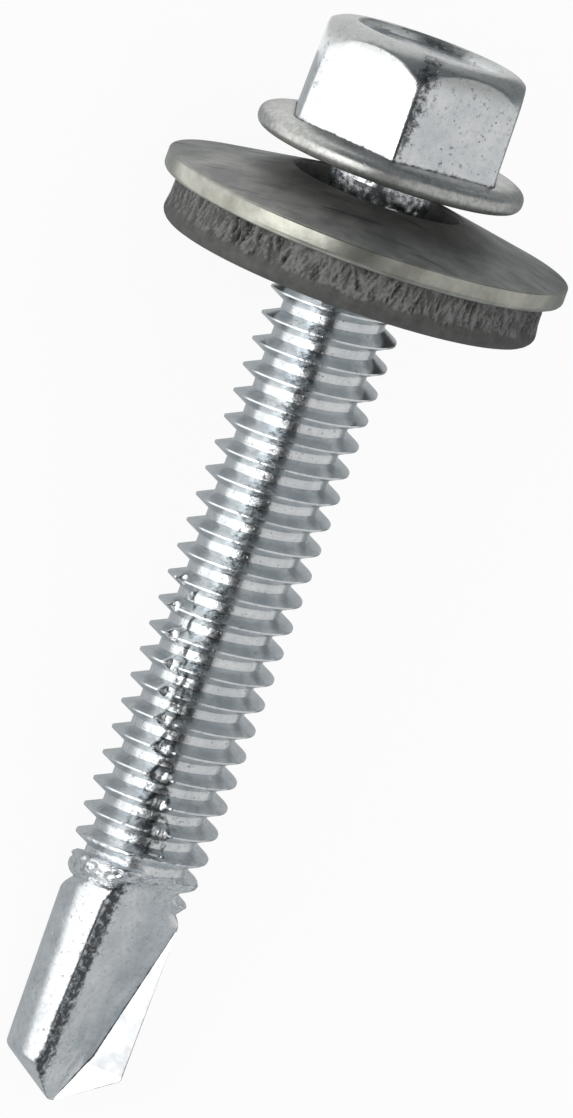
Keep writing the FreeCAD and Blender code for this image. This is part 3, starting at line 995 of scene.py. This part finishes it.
add_node(tree, "ShaderNodeOutputMaterial", {"Surface": mixed}, out=None)
floor.data.materials.append(paper)

world = bpy.data.worlds.new("studio")
bpy.context.scene.world = world
world.use_nodes = True
room = world.node_tree.nodes["Background"].inputs
room["Color"].default_value = (1, 1, 1, 1)
room["Strength"].default_value = 0.66
print("floor", 2 * half_floor, "m wide, room at", round(room["Strength"].default_value, 2))

# %% Softboxes
middle = lay_down @ aim


def softbox(name, direction, reach, width, height, radiance):
    """A rectangular area lamp that faces the screw. direction is in the upright frame."""
    data = bpy.data.lights.new(name, "AREA")
    data.shape = "RECTANGLE"
    data.size, data.size_y = width, height
    data.energy = radiance * math.pi * width * height
    lamp = bpy.data.objects.new(name, data)
    bpy.context.scene.collection.objects.link(lamp)
    facing = (turn @ Vector(direction)).normalized()
    aimed = facing.to_track_quat("Z", "Y").to_matrix().to_4x4()
    lamp.matrix_world = Matrix.Translation(middle + facing * reach) @ aimed
    return lamp


key_lamp = softbox("left_softbox", (-0.615, -0.79, 0.1), 0.30, 0.22, 0.30, 2.0)
fill = softbox("left_fill", (-0.95, -0.3, 0.1), 0.30, 0.20, 0.30, 2.4)
fill.visible_glossy = False        # it lights the rubber and leaves the metal's reflections alone
print("lamps of", round(key_lamp.data.energy, 2), "and", round(fill.data.energy, 2), "W")

# %% [markdown]
# ### Cards
#
# A photographer shapes bright metal with cards: the metal shows what stands around it.
# Here a dark card makes the stripe down the middle, grey ones tone the right side and the
# ends, and one brighter than white fills the faces that shine. Only mirrors see a card,
# and those that lie just over the floor stand for tinted paper.


# %% Card helpers
def card(name, corners, shade):
    """A card that only the metal mirrors. corners are in world metres, shade is how bright it looks."""
    made = bpy.data.objects.new(name, bpy.data.meshes.new(name))
    made.data.from_pydata([tuple(corner) for corner in corners], [], [tuple(range(len(corners)))])
    bpy.context.scene.collection.objects.link(made)
    made.visible_camera = made.visible_diffuse = made.visible_shadow = made.visible_transmission = False
    paint = bpy.data.materials.new(name)
    paint.use_nodes = True
    paint.node_tree.nodes.clear()
    glow = add_node(paint.node_tree, "ShaderNodeEmission", {"Color": (*shade, 1), "Strength": 1.0})
    add_node(paint.node_tree, "ShaderNodeOutputMaterial", {"Surface": glow}, out=None)
    made.data.materials.append(paint)
    print(name, "with", len(corners), "corners")


def standing_card(name, direction, reach, width, height, shade):
    """A card that faces the screw. direction is in the upright frame, height runs along the screw."""
    facing = (turn @ Vector(direction)).normalized()
    tall = (along - facing * along.dot(facing)).normalized() * height / 2
    wide = tall.normalized().cross(facing) * width / 2
    centre = middle + facing * reach
    foot, top = centre - tall, centre + tall
    card(name, [foot - wide, foot + wide, top + wide, top - wide], shade)


def floor_card(name, marks, shade):
    """A card just over the floor. marks are (height on the screw, millimetres to its right) pairs."""
    corners = []
    for station, beside in marks:
        below = lay_down @ Vector((0, 0, station))
        corners.append((below.x, below.y + math.copysign(beside, right.y * beside) * mm, 0.0002))
    card(name, corners, shade)


standing_card("dark_card", (-0.04, -1.0, -0.1), 0.25, 0.12, 0.5, (0.020, 0.021, 0.022))
standing_card("dish_card", (-0.30, -0.75, 0.55), 0.22, 0.36, 0.11, (0.01, 0.01, 0.01))
standing_card("grey_card", (1.0, 0.03, -0.62), 0.29, 0.25, 0.17, (0.50, 0.51, 0.52))

# %% Cards on the floor and past the screw's ends
floor_card("white_card", [(-42, -4.5), (4, -10), (70, -300), (-130, -300)], (1.25, 1.25, 1.25))
floor_card("shade_card", [(-60, -4.5), (4, -10), (4, 14), (-60, 9)], (0.435, 0.455, 0.47))
floor_card("right_card", [(-60, 9.1), (4, 14.1), (60, 14.1), (110, 200), (-60, 200)], (0.29, 0.305, 0.315))
rightwards = math.copysign(1, right.y)
foot_height, end_height = 0.0004, 0.24
for end, x, far, shade in (
    ("head", 0.15, 0.6, (0.19, 0.21, 0.23)), ("tip", -0.15, 0.2, (0.38, 0.41, 0.43)),
):
    near_y, far_y = -0.2 * rightwards, far * rightwards
    foot_line, top_line = [[(x, y, z) for y in (near_y, far_y)] for z in (foot_height, end_height)]
    card(end + "_end_card", foot_line + top_line[::-1], shade)

# %% [markdown]
# ## Hand over
#
# Each piece rides on the body it moves with and stands for its solid. The washer and the
# ring slide up the shank together, so both ride on one body.

# %% Bodies and slots
for piece, body, node, slot in (
    (screw, "screw", "screw", "zinc_screw"),
    (washer, "sealing_washer", "metal_washer", "washer_steel"),
    (ring, "sealing_washer", "rubber_seal", "seal_rubber"),
):
    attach(piece, body)
    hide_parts(node)

bpy.context.scene.view_settings.view_transform = "Standard"
